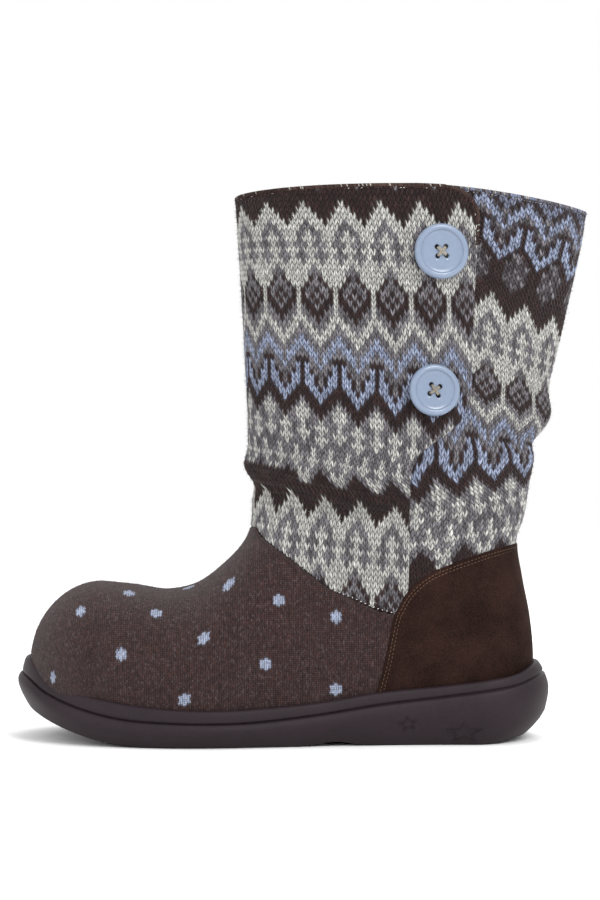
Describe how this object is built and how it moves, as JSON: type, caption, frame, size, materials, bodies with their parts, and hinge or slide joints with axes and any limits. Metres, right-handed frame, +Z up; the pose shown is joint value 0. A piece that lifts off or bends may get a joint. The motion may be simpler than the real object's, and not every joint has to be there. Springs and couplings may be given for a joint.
{
  "type": "knit boot",
  "caption": "Slouchy knit ankle boot with an open collar, a buttoned side flap, a suede heel counter and a moulded cup sole.",
  "frame": {"origin": "on the flat underside of the sole, at the middle of its length", "axes": "+Z up, -X towards the toe, -Y towards the outer side with the buttons"},
  "size_m": [0.2887, 0.1041, 0.276],
  "materials": {
    "knit": "patterned wool knit in dark brown, heather grey, cream and pale blue",
    "suede": "dark brown suede, napped",
    "sole": "satin moulded dark brown rubber",
    "insole": "brown textile cover on a foam board",
    "button": "pale blue satin resin"
  },
  "bodies": {
    "root": {"sole": "sole", "insole": "insole", "upper": "knit", "heel_counter": "suede", "front_flap": "knit", "button_upper": "button", "button_lower": "button"}
  },
  "joints": []
}
